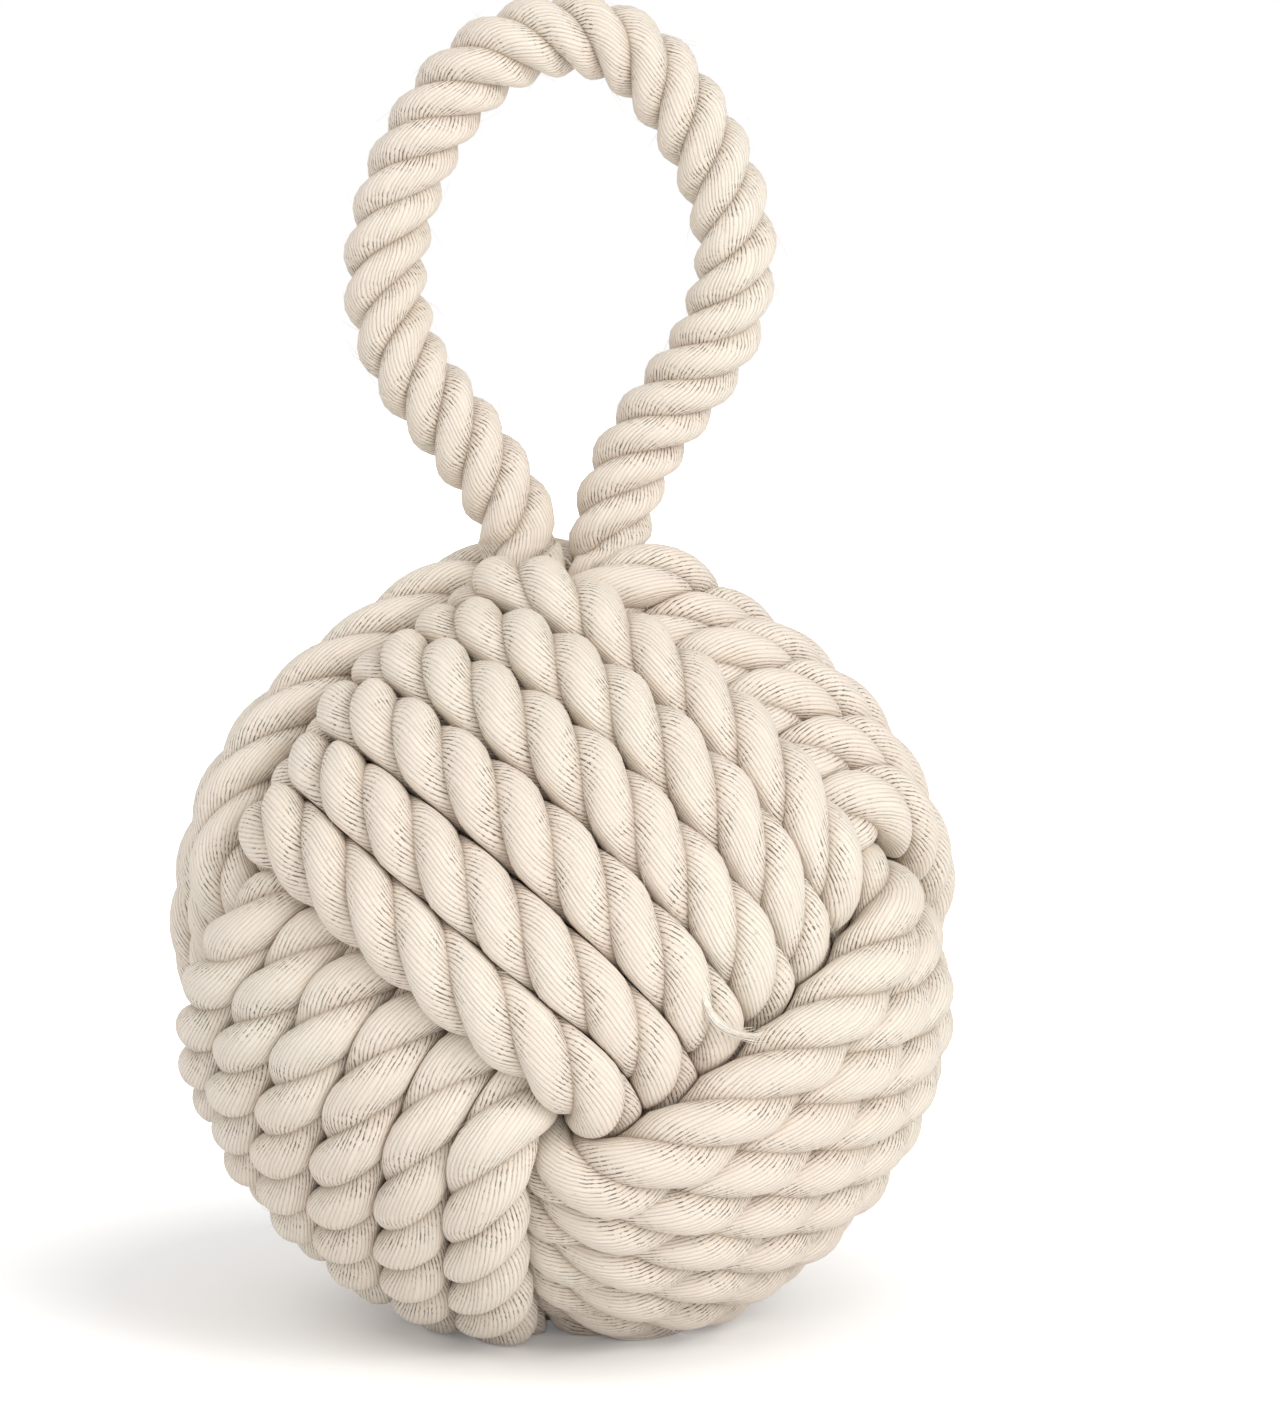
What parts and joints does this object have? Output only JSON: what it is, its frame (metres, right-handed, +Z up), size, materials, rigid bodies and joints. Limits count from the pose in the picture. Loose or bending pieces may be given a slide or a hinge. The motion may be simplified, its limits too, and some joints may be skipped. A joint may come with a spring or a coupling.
{
  "type": "doorstop",
  "caption": "Rope knot doorstop: a round monkey's fist of natural cotton rope tied over a weighted pouch, with a rope loop handle on top",
  "frame": {"origin": "on the floor, under the middle of the knot", "axes": "+Z up through the knot and its handle, +X to the right along the handle's width as seen from the front, -Y toward the viewer"},
  "size_m": [0.1441, 0.1472, 0.251],
  "materials": {
    "cotton_rope": "matte laid cotton, undyed",
    "canvas": "matte plain-weave canvas, undyed",
    "sand": "dry loose sand",
    "waxed_twine": "waxed linen twine, slight sheen"
  },
  "bodies": {
    "knot": {"knot_rope": "cotton_rope", "tucked_tail": "cotton_rope", "end_binding": "waxed_twine", "handle_root_left": "cotton_rope", "handle_root_right": "cotton_rope", "core_pouch": "canvas", "sand_fill": "sand", "pouch_tie": "waxed_twine"},
    "handle": {"handle_loop": "cotton_rope"}
  },
  "joints": [
    {"name": "handle_flex", "type": "hinge", "parent": "knot", "child": "handle", "pos_m": [0, 0.003, 0.1548], "axis": [1, 0, 0], "range_deg": [-35, 35], "stiffness_Nm_per_rad": 0.2, "deforming": ["handle_root_left", "handle_root_right"]}
  ]
}
